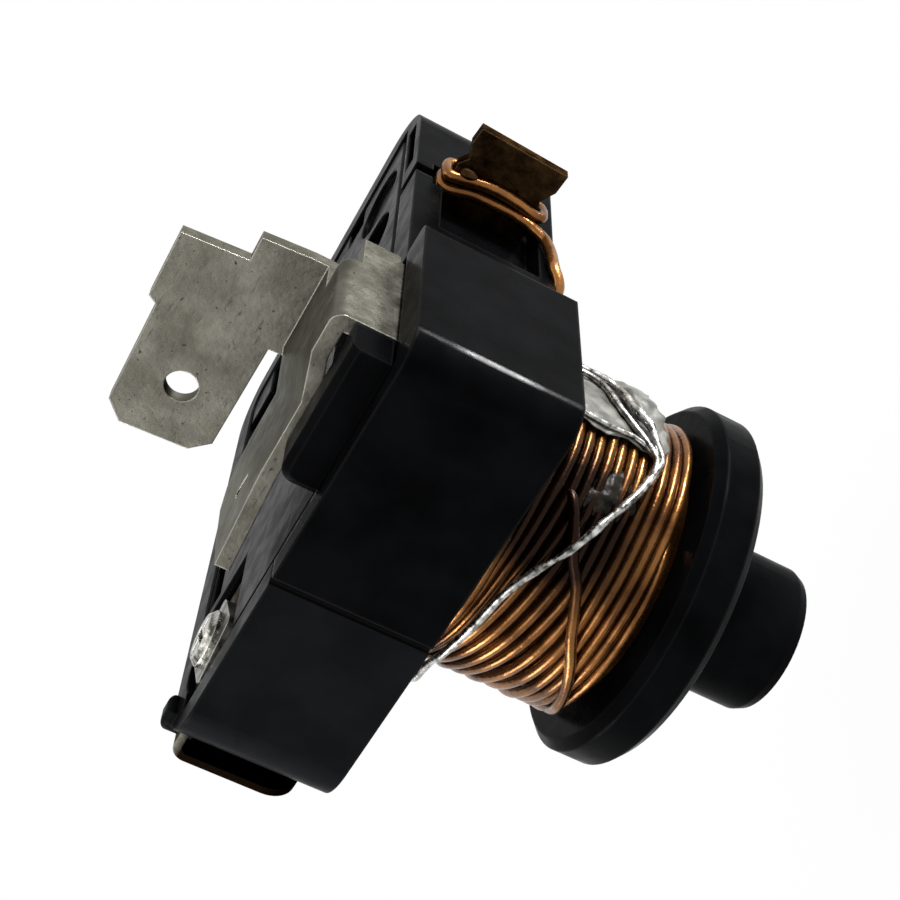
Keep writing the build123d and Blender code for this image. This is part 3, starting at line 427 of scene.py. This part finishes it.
# %% Wires, tape and pad
# The enamelled copper carries a spot of painted shade near the crossing strand.
finish("enamelled_copper", (0.085, 0.032, 0.008), (0.29, 0.125, 0.036), 2.5, (0.20, 0.32),
       metallic=0.9, bump=0.55, bump_mm=0.35, coat=0.04,
       painted_shade_spot=((0.012, 0.004, 0.001), (5.2, -6.4, 15.6), 2.8, 5.8))
finish("tinned_wire", (0.06, 0.06, 0.055), (0.62, 0.61, 0.58), 0.45, (0.16, 0.42),
       metallic=1.0, bump=0.6, bump_mm=0.3)
finish("insulation", (0.04, 0.04, 0.034), (0.13, 0.13, 0.112), 0.9, (0.30, 0.55),
       bump=0.6, bump_mm=0.7, specular=0.4, pit_colour=(0.04, 0.038, 0.034), pit_mm=0.6)
finish("varnish", (0.002, 0.002, 0.002), (0.018, 0.014, 0.010), 0.5, (0.15, 0.5),
       bump=0.9, bump_mm=0.4, specular=0.08)
finish("soft_pad", (0.03, 0.03, 0.03), (0.06, 0.06, 0.06), 1.0, (0.7, 0.9), bump=0.3)
finish("stained_brass", (0.020, 0.011, 0.005), (0.062, 0.034, 0.014), 1.2, (0.30, 0.50),
       metallic=1.0, bump=0.4, tint=(0.2, 0.2, 0.2),
       edge_mm=0.08, bright_edge_and_highlight=(0.07, 0.05, 0.03), pit_colour=(0.008, 0.005, 0.003))
print("finishes in all:", len(MATERIALS))

# %% [markdown]
# Each CAD node takes the finish of its slot. Some differ: the run terminal was heated when its lead was
# soldered, so its plate is stained brown, the end blade is darker below its bend, the screw and its
# washer are scratched and tarnished, and the terminal block is a shade greyer than the housing.

# %% Finishes on the CAD nodes
slot_of = {part["node"]: part["material_slot"] for part in frame["record"]["subparts"]}
own_finish = {"run_terminal": "stained_brass", "solder_joint": "stained_brass",
              "end_terminal": "end_blade", "terminal_block": "grey_moulding",
              "terminal_screw": "screw_steel", "clamp_washer": "washer_steel"}
for node, shown in frame["nodes"].items():
    shown.data.materials.clear()
    shown.data.materials.append(MATERIALS[own_finish.get(node, slot_of[node])])
print("finishes:", sorted(MATERIALS))

# %% [markdown]
# Surfaces from arrays. Every new piece is a grid of points worked out by numpy at once. A wire is a
# circle carried along a path, with a frame that does not spin: at each point the circle's first axis
# is a fixed direction with its part along the path taken out.

# %% Grid, path and wire helpers


def grid_mesh(name, points, finish_name, close_along=False, close_around=True, caps=True):
    """A mesh from points of shape (along, around, 3): neighbours in the grid are joined by faces, the
    rows may close on themselves, and each open end gets one flat face."""
    along, around = points.shape[:2]
    rows = np.arange(along if close_along else along - 1)[:, None]
    columns = np.arange(around if close_around else around - 1)[None, :]
    next_row, next_column = (rows + 1) % along, (columns + 1) % around
    corners = [rows * around + columns, rows * around + next_column, next_row * around + next_column,
               next_row * around + columns]
    faces = np.stack(corners, -1).reshape(-1, 4).tolist()
    if caps and close_around and not close_along:
        faces.append(list(range(around))[::-1])
        faces.append(list(range((along - 1) * around, along * around)))
    mesh = bpy.data.meshes.new(name)
    mesh.from_pydata(points.reshape(-1, 3).tolist(), [], faces)
    mesh.shade_smooth()
    mesh.materials.append(MATERIALS[finish_name])
    piece = bpy.data.objects.new(name, mesh)
    scene.collection.objects.link(piece)
    return piece


def smooth_path(points_mm, count):
    """Points along a Catmull-Rom curve: between two given points the place is a cubic of the step,
    weighted on the four nearest given points."""
    given = np.asarray(points_mm, float)
    padded = np.vstack([2 * given[0] - given[1], given, 2 * given[-1] - given[-2]])
    step = np.linspace(0, len(given) - 1 - 1e-9, count)
    start = step.astype(int)
    u = (step - start)[:, None]
    before, here, there, after = (padded[start + shift] for shift in range(4))
    return 0.5 * (2 * here + (there - before) * u + (2 * before - 5 * here + 4 * there - after) * u ** 2
                  + (3 * here - before - 3 * there + after) * u ** 3)


def wire_points(path_mm, radius_mm, around=10, lay=(0.3, 0.2, 0.93)):
    """Points of a round wire: path + radius x (cos a x side + sin a x up), in metres. The side is the
    lay direction squared off against the path."""
    tangent = np.gradient(path_mm, axis=0)
    tangent /= np.linalg.norm(tangent, axis=1, keepdims=True)
    side = np.asarray(lay) - tangent * (tangent @ np.asarray(lay))[:, None]
    side /= np.linalg.norm(side, axis=1, keepdims=True)
    up = np.cross(tangent, side)
    angle = np.linspace(0, 2 * math.pi, around, endpoint=False)
    radius = np.broadcast_to(np.asarray(radius_mm, float), (len(path_mm),))[:, None, None]
    ring = np.cos(angle)[None, :, None] * side[:, None] + np.sin(angle)[None, :, None] * up[:, None]
    return (path_mm[:, None] + radius * ring) * MM


def around_axis(angle_deg, radius_mm, z_mm):
    """Points about the coil axis: (radius x cos angle, radius x sin angle, height)."""
    angle = np.radians(angle_deg)
    return np.stack([radius_mm * np.cos(angle), radius_mm * np.sin(angle), z_mm + 0 * angle], -1)


def grow(value, zero_at, one_at):
    """A share that is 0 up to one end of a range, 1 from the other end on, and straight between."""
    return np.clip((value - zero_at) / (one_at - zero_at), 0, 1)


def waves(value, *parts):
    """The sum of height x sin(pace x value + shift) over the parts."""
    return sum(height * np.sin(pace * value + shift) for height, pace, shift in parts)


print("helpers ready")

# %% [markdown]
# The winding. The real coil is one wire, so it is drawn as one helix and not as rings. A helix alone
# would look like a spring: this coil was wound by a quick machine, so each turn bends down where it
# comes round the right side, and left of the place where one strand crosses the layer the turns climb.
# Both bends are added to the height of the helix as functions of the angle about the axis.

# %% The path of the wire
COIL_TURNS = 13.87
COIL_START_ANGLE = -38.0
COIL_START_Z = 10.06
TURN_RISE = 0.595
WIRE_RADIUS = 0.285
COIL_RADIUS = 7.86
BACK_ANGLE = -200
DIP_ANGLES = [-150, -95, -75, -50, -25, 0, 30, 100, 180]
DIP_MM = [0.15, 0.13, 0.12, 0.0, -0.32, -0.50, -0.55, -0.3, 0.1]
DIP_ENDS_Z = (18.2, 16.7)
CLIMB_PER_DEGREE = 0.02
CLIMB_FADE_ANGLES = (BACK_ANGLE, BACK_ANGLE + 60)
CLIMB_BEGINS_Z, CLIMB_ENDS_Z = (11.9, 13.5), (18.0, 15.5)
CROSSING_ANGLE, CROSSING_Z = -62, 14.6
CROSSING_LEAN = 13.6
SWAY = ((0.04, 9.7, 0), (0.03, 23.1, 1))
START_DEPTH, START_FADE = 1.3, 18


def coil_path(turns, radius, start_z, count):
    """A helix whose height is start + rise x turn + dip(angle) + climb x (degrees left of the
    crossing), wound so that height grows as the angle falls. The climb fades out behind, in the lowest
    turns and near the top, and the first few degrees come up from under the layer."""
    turn = np.linspace(0, turns, count)
    angle = COIL_START_ANGLE - 360 * turn
    level = start_z + TURN_RISE * turn
    seen_angle = (angle - BACK_ANGLE) % 360 + BACK_ANGLE
    dip = np.interp(seen_angle, DIP_ANGLES, DIP_MM, period=360) * grow(level, *DIP_ENDS_Z)
    crossing_angle = CROSSING_ANGLE - (CROSSING_Z - level) * CROSSING_LEAN
    left = np.clip(crossing_angle - seen_angle, 0, -BACK_ANGLE)
    fade = grow(seen_angle, *CLIMB_FADE_ANGLES) * grow(level, *CLIMB_BEGINS_Z)
    fade = fade * grow(level, *CLIMB_ENDS_Z)
    out = radius + waves(turn, *SWAY) - START_DEPTH * np.exp(-turn * START_FADE)
    return around_axis(angle, out, level + dip + CLIMB_PER_DEGREE * left * fade)


print("wire of", round(2 * math.pi * COIL_RADIUS * COIL_TURNS), "mm in the outer layer")

# %% [markdown]
# The layers. Gaps between the outer turns show what is under them, so a second layer of the same wire
# and a plain core lie below. The three ride on the case, and the outer layer stands for the CAD coil.

# %% Outer layer, under layer and core
UNDER_TURNS, UNDER_RADIUS, UNDER_START_Z = COIL_TURNS - 0.5, COIL_RADIUS - 0.5, COIL_START_Z + 0.3
CORE_RADII_MM = np.array([5.0, 7.0, 7.0, 5.0])
outer = wire_points(coil_path(COIL_TURNS, COIL_RADIUS, COIL_START_Z, 1700), WIRE_RADIUS, 10, UP)
winding = grid_mesh("winding_outer_layer", outer, "enamelled_copper")
inner = wire_points(coil_path(UNDER_TURNS, UNDER_RADIUS, UNDER_START_Z, 1100), WIRE_RADIUS, 8, UP)
under_layer = grid_mesh("winding_under_layer", inner, "enamelled_copper")
low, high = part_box("coil_winding")
levels_mm = np.array([low.z, low.z, high.z, high.z]) / MM
angles = np.linspace(0, 360, 64, endpoint=False)[None, :]
core = around_axis(angles, CORE_RADII_MM[:, None], levels_mm[:, None]) * MM
core_piece = grid_mesh("winding_core", core[:, ::-1], "enamelled_copper", close_along=True)
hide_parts("coil_winding")
for piece in (winding, under_layer, core_piece):
    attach(piece, "case")
print("winding turns:", COIL_TURNS)

# %% [markdown]
# The crossing strand. The wire's outer end comes back down over the layer to the lower flange, and it
# lies on top of the turns that it crosses, so its radius is larger by one wire. It starts between them.

# %% Crossing strand
CROSSING = [(-37, 16.2), (-44, 15.7), (-54, 15.1), (-62, 14.6), (-69, 13.9), (-78, 13.3), (-87, 12.7),
            (-97, 11.9), (-110, 11.1), (-126, 10.5), (-150, 9.95)]
CROSSING_RADII = [(-150, 7.9), (-126, 8.2), (-54, 8.36), (-44, 8.15), (-37, 7.3)]
crossing_angle, crossing_z = np.array(CROSSING, float).T
crossing_radius = np.interp(crossing_angle, *np.array(CROSSING_RADII, float).T)
crossing = smooth_path(around_axis(crossing_angle, crossing_radius, crossing_z), 110)
strand = grid_mesh("winding_crossing_strand", wire_points(crossing, WIRE_RADIUS, 10, UP),
                   "enamelled_copper")
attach(strand, "case")
print("crossing strand drawn over", len(CROSSING), "places")

# %% [markdown]
# The varnish. A dab of black varnish holds the crossing in place. It is a thin skin on the turns: one
# grid of angle and height with a wavy rim, lifted most in its middle, and closed by a second skin
# just under the turns.

# %% Varnish dab
VARNISH_ANGLE, VARNISH_Z = -36.5, 13.9
REACH_DEGREES, REACH_MM = 9.5, 1.35
VARNISH_RADIUS, VARNISH_LIFT = 7.98, 0.2
RIM_WAVES = ((0.16, 3, 1), (0.10, 7, 0))
VARNISH_LEAN = 0.045


def varnish_skin(lift_mm, count=48):
    """Points at centre + reach x share of the way out, with a rim of 1 + two waves of the turn round
    it. The radius is the coil's, plus the lift x (1 - share squared), plus a fine wave."""
    share = np.linspace(0.02, 1, 14)[:, None]
    turn = np.linspace(0, 2 * math.pi, count, endpoint=False)[None, :]
    way = share * (1 + waves(turn, *RIM_WAVES))
    angle = VARNISH_ANGLE + REACH_DEGREES * way * np.cos(turn)
    height = VARNISH_Z + REACH_MM * way * np.sin(turn) - VARNISH_LEAN * (angle - VARNISH_ANGLE)
    ripple = waves(height, (0.035, 9.5, 0)) + waves(angle, (0.02, 1.3, 0))
    return around_axis(angle, VARNISH_RADIUS + lift_mm * (1 - share ** 2) + ripple, height) * MM


skin = np.concatenate([varnish_skin(0.0)[:-1], varnish_skin(VARNISH_LIFT)[::-1]])
dab = grid_mesh("varnish_dab", skin, "varnish")
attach(dab, "case")
print("varnish drawn, lifted", VARNISH_LIFT, "mm")

# %% [markdown]
# The tape. A strip of grey paper tape keeps the bare lead off the enamel. It was pressed on by hand, so
# its rim is torn, it has folds, and beyond the lead its free side stands away from the coil. It is one
# sheet over angle and height, with an outer skin and an inner skin.

# %% Crumpled tape
LEAD_UNDER = [(-20, 12.2), (-9.8, 12.42), (-3.1, 12.81), (2.3, 13.68), (14.5, 14.32), (25, 16.2),
              (29, 17.4)]
TAPE_LOW_RIM = [(-15, 12.1), (-12, 11.5), (-5, 11.5), (5, 11.9), (12, 12.4), (20, 12.6), (48, 12.7)]
TAPE_FROM, TAPE_TO, TAPE_TOP = -13.5, 46.0, 17.4
TAPE_RADIUS, TAPE_THICKNESS, FREE_LIFT = 8.24, 0.06, 0.62
TORN_WAVES = ((1.3, 2.3, 1), (0.5, 7.1, 0))
FREE_WIDTH, FREE_ANGLES, FREE_LEVELS = 0.6, (-4, 11), (14.6, 13.7)
FOLDS = ((0.05, 2.9, 0.21, 0), (0.05, 1.3, -0.33, 1))


def tape_skin(thickness_mm):
    """Points whose angle runs from the torn rim to the far end and whose height runs between the rims.
    The radius is the coil's, plus 0.62 where the sheet lies beyond the lead, plus two sets of folds,
    each depth x the size of sin(a x height + b x angle + shift)."""
    along = np.linspace(0, 1, 110)[:, None]
    across = np.linspace(0, 1, 56)[None, :]
    angle_here = TAPE_FROM + (TAPE_TO - TAPE_FROM) * along
    low_rim = np.interp(angle_here, *np.array(TAPE_LOW_RIM, float).T)
    low_rim = low_rim + waves(angle_here, (0.10, 0.9, 0))
    height = low_rim + (TAPE_TOP - low_rim) * across
    angle = angle_here + (1 - along) * waves(height, *TORN_WAVES)
    lead = np.interp(angle, *np.array(LEAD_UNDER, float).T)
    free = grow(lead - height, 0, FREE_WIDTH) * grow(angle, *FREE_ANGLES)
    free = free * grow(height, *FREE_LEVELS)
    lifted = FREE_LIFT * free * free * (3 - 2 * free)
    folds = sum(depth * np.abs(np.sin(height * a + angle * b + shift))
                for depth, a, b, shift in FOLDS)
    return around_axis(angle, TAPE_RADIUS + thickness_mm + lifted + folds, height) * MM


sheet = np.concatenate([tape_skin(TAPE_THICKNESS)[:, ::-1], tape_skin(0.0)], axis=1)
tape = grid_mesh("insulation_crumpled", sheet, "insulation")
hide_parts("insulation_band")
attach(tape, "case")
print("tape drawn, from", TAPE_FROM, "to", TAPE_TO, "degrees")

# %% [markdown]
# The tinned lead is two bare strands that were brushed with solder where they meet, and a thin third
# one holds down the rim of the tape. Each is a wire along a list of places that were read off the
# picture, as an angle about the coil and a height. Solder beads make the first one's radius uneven.

# %% Tinned leads
TINNED_TURNS = [(31, 19.25), (30, 17.6), (25, 16.1), (14.5, 14.32), (2.3, 13.6), (-3.1, 12.81),
                (-9.8, 12.42), (-16, 12.0), (-21, 12.1), (-34, 12.9), (-47, 14.0), (-59, 14.95),
                (-71, 16.15), (-81, 16.85), (-95, 17.2), (-115, 17.4), (-130, 17.35)]
TINNED_RADII = [(-20, 8.55), (-3, 8.72)]
TINNED_END = [(-7.3, -5.55, 17.2), (-8.35, -4.65, 17.5), (-8.53, -4.27, 18.4), (-8.53, -4.27, 21.0)]
SECOND_STRAND = [(28.5, 19.25), (27, 17.8), (23, 16.6), (17.3, 15.3), (6.7, 14.75), (-0.4, 14.28),
                 (-7.0, 13.5), (-12.1, 12.8), (-17, 12.25), (-24, 12.3), (-34, 12.95)]
RIM_STRAND = [(-10.4, 19.2), (-10.5, 17.0), (-11.0, 16.2), (-11.6, 15.4), (-11.7, 14.4),
              (-11.3, 13.65), (-12.6, 12.95), (-16, 12.35)]
THIN_STRANDS = {  # name: places, distance from the axis and radius of the wire in mm
    "tinned_second_strand": (SECOND_STRAND, 8.56, 0.18),
    "tinned_rim_strand": (RIM_STRAND, 8.47, 0.13),
}
TINNED_RADIUS, TINNED_STEPS = 0.22, 300
BEAD_WAVES, LONG_WAVE = ((0.03, 63, 0), (0.03, 149, 1)), (0.02, 27, 2)
tinned_angle, tinned_z = np.array(TINNED_TURNS, float).T
tinned_out = np.interp(tinned_angle, *np.array(TINNED_RADII, float).T)
tinned_places = np.vstack([around_axis(tinned_angle, tinned_out, tinned_z), TINNED_END])
tinned = smooth_path(tinned_places, TINNED_STEPS)
along = np.linspace(0, 1, TINNED_STEPS)
beads = 0.5 + 0.5 * np.sin(along * 17 - 1.2)
thickness = TINNED_RADIUS + beads * waves(along, *BEAD_WAVES) + waves(along, LONG_WAVE)
tinned_piece = grid_mesh("tinned_lead_drawn", wire_points(tinned, thickness, 12), "tinned_wire")
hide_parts("tinned_lead")
strands = [tinned_piece]
for name, (turns, out_mm, thick_mm) in THIN_STRANDS.items():
    turn_angle, turn_z = np.array(turns, float).T
    path = smooth_path(around_axis(turn_angle, out_mm, turn_z), 120)
    strands.append(grid_mesh(name, wire_points(path, thick_mm, 10), "tinned_wire"))
for piece in strands:
    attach(piece, "case")
print("tinned strands drawn:", len(strands))

# %% [markdown]
# The copper lead climbs the recessed side to the run terminal and turns twice round its neck, side by
# side. The neck is flat sheet, so the places are given corner by corner and the curve rounds them off.

# %% Copper lead
COPPER_LEAD = [(8.3, 2.0, 18.3), (8.75, 3.2, 18.5), (9.6, 4.7, 18.75), (10.45, 5.7, 18.82),
               (10.86, 6.6, 19.3), (10.88, 8.0, 19.44), (10.88, 9.17, 19.72), (10.87, 9.8, 20.2),
               (10.85, 10.3, 20.75), (10.8, 10.72, 21.7), (10.8, 10.72, 22.7), (10.72, 10.72, 24.1),
               (10.42, 10.72, 25.3), (10.42, 11.0, 25.76), (10.5, 12.0, 25.78), (10.6, 12.28, 25.2),
               (10.95, 12.28, 22.5), (11.2, 12.28, 20.7), (11.25, 12.0, 20.2), (11.27, 11.0, 20.2),
               (11.3, 10.72, 20.7), (11.5, 10.72, 21.9), (11.54, 10.72, 23.5), (11.2, 10.72, 25.3),
               (11.12, 11.0, 25.76), (11.15, 12.0, 25.78), (11.25, 12.28, 25.2), (11.6, 12.28, 23.0)]
COPPER_RADIUS = 0.31
copper = wire_points(smooth_path(COPPER_LEAD, 360), COPPER_RADIUS, 12)
copper_piece = grid_mesh("copper_lead_drawn", copper, "enamelled_copper")
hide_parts("coil_lead")
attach(copper_piece, "case")
print("copper lead drawn through", len(COPPER_LEAD), "places")

# %% [markdown]
# The solder joint. In the drawing it is a small block. Real solder wets the wire and the plate and
# freezes as a drop, so here it is a rounded lump with the same length, width and height. It is a ball
# whose belly is fuller, because it is as wide as the cosine of its height angle to the power 0.6, and
# a slow wave keeps it from being even.

# %% Solder drop
BELLY = 0.6
POLE_GAP = 0.05
low, high = (np.array(corner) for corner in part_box("solder_joint"))
up_turn = np.linspace(-math.pi / 2 + POLE_GAP, math.pi / 2 - POLE_GAP, 24)[:, None]
round_turn = np.linspace(0, 2 * math.pi, 32, endpoint=False)[None, :]
ripple = 0.93 + 0.06 * np.sin(3 * round_turn + 1) * np.cos(up_turn) * np.sin(2 * up_turn + 1)
wide = np.cos(up_turn) ** BELLY
ball = [wide * np.cos(round_turn), wide * np.sin(round_turn), np.sin(up_turn) + 0 * round_turn]
drop = (low + high) / 2 + (high - low) / 2 * np.stack(ball, -1) * ripple[..., None]
lump = grid_mesh("solder_drop", drop, "stained_brass")
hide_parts("solder_joint")
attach(lump, "case")
print("solder drawn in a box of", ((high - low) / MM).round(2), "mm")

# %% [markdown]
# The contact spring. It sits on the rod's collar and pushes the contact bridge up, and when the contacts
# have closed the rod goes on rising and the bridge presses the spring together. So the drawn spring is a
# round wire with flat end turns, and it moves with the plunger.

# %% Contact spring
SPRING_COIL_MM, SPRING_WIRE_MM, SPRING_COILS, END_TURNS = 1.4, 0.17, 5.0, 0.8
low, high = (np.array(corner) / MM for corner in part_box("contact_spring"))
coil_turn = np.linspace(0, SPRING_COILS, 260)
rise = grow(coil_turn, END_TURNS, SPRING_COILS - END_TURNS)
foot, head = low[2] + SPRING_WIRE_MM, high[2] - SPRING_WIRE_MM
spring_path = around_axis(360 * coil_turn, SPRING_COIL_MM, foot + (head - foot) * rise)
spring_wire = wire_points(spring_path, SPRING_WIRE_MM, 10, UP)
spring = grid_mesh("contact_spring_drawn", spring_wire, "plated_steel")
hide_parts("contact_spring")
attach(spring, "plunger")
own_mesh(spring)

# %% [markdown]
# The floor is pale and plain, and it only has to catch a soft shadow. To the camera it is mostly the
# same white as the room, and away from the relay it fades into that white, so no edge shows.

# %% Floor
FLOOR_MM, FLOOR_DROP_MM = 400.0, 12.0
SHADOW_REACH_MM, FADE_REACH_MM = 40.0, 160.0
NEAR_GLOW = 0.88
PAPER = (0.9, 0.9, 0.9, 1)
side = np.linspace(-FLOOR_MM, FLOOR_MM, 5) * MM
floor_x, floor_y = np.meshgrid(side, side, indexing="ij")
floor_points = np.stack([floor_x, floor_y, 0 * floor_x - FLOOR_DROP_MM * MM], -1)
floor_finish = bpy.data.materials.new("floor_paper")
floor_finish.use_nodes = True
tree = floor_finish.node_tree
paper = tree.nodes["Principled BSDF"]
paper.inputs["Base Color"].default_value = PAPER
paper.inputs["Roughness"].default_value = 0.9
glow = tree.nodes.new("ShaderNodeEmission")
glow.inputs["Strength"].default_value = 1.0
reach = measure(tree, "DISTANCE", (0, 0, 0))
fading = spread(tree, reach, SHADOW_REACH_MM * MM, FADE_REACH_MM * MM, NEAR_GLOW, 1.0)
seen_or_mirrored = ray_mask(tree, "Is Camera Ray", "Is Glossy Ray")
share = combine(tree, "MULTIPLY", seen_or_mirrored, fading)
blend = mix_shaders(tree, share, paper.outputs[0], glow.outputs[0])
tree.links.new(blend, tree.nodes["Material Output"].inputs["Surface"])
MATERIALS["floor_paper"] = floor_finish
floor = grid_mesh("floor", floor_points, "floor_paper", close_around=False)
print("floor spans", 2 * FLOOR_MM, "mm and lies", FLOOR_DROP_MM, "mm below the post's end")
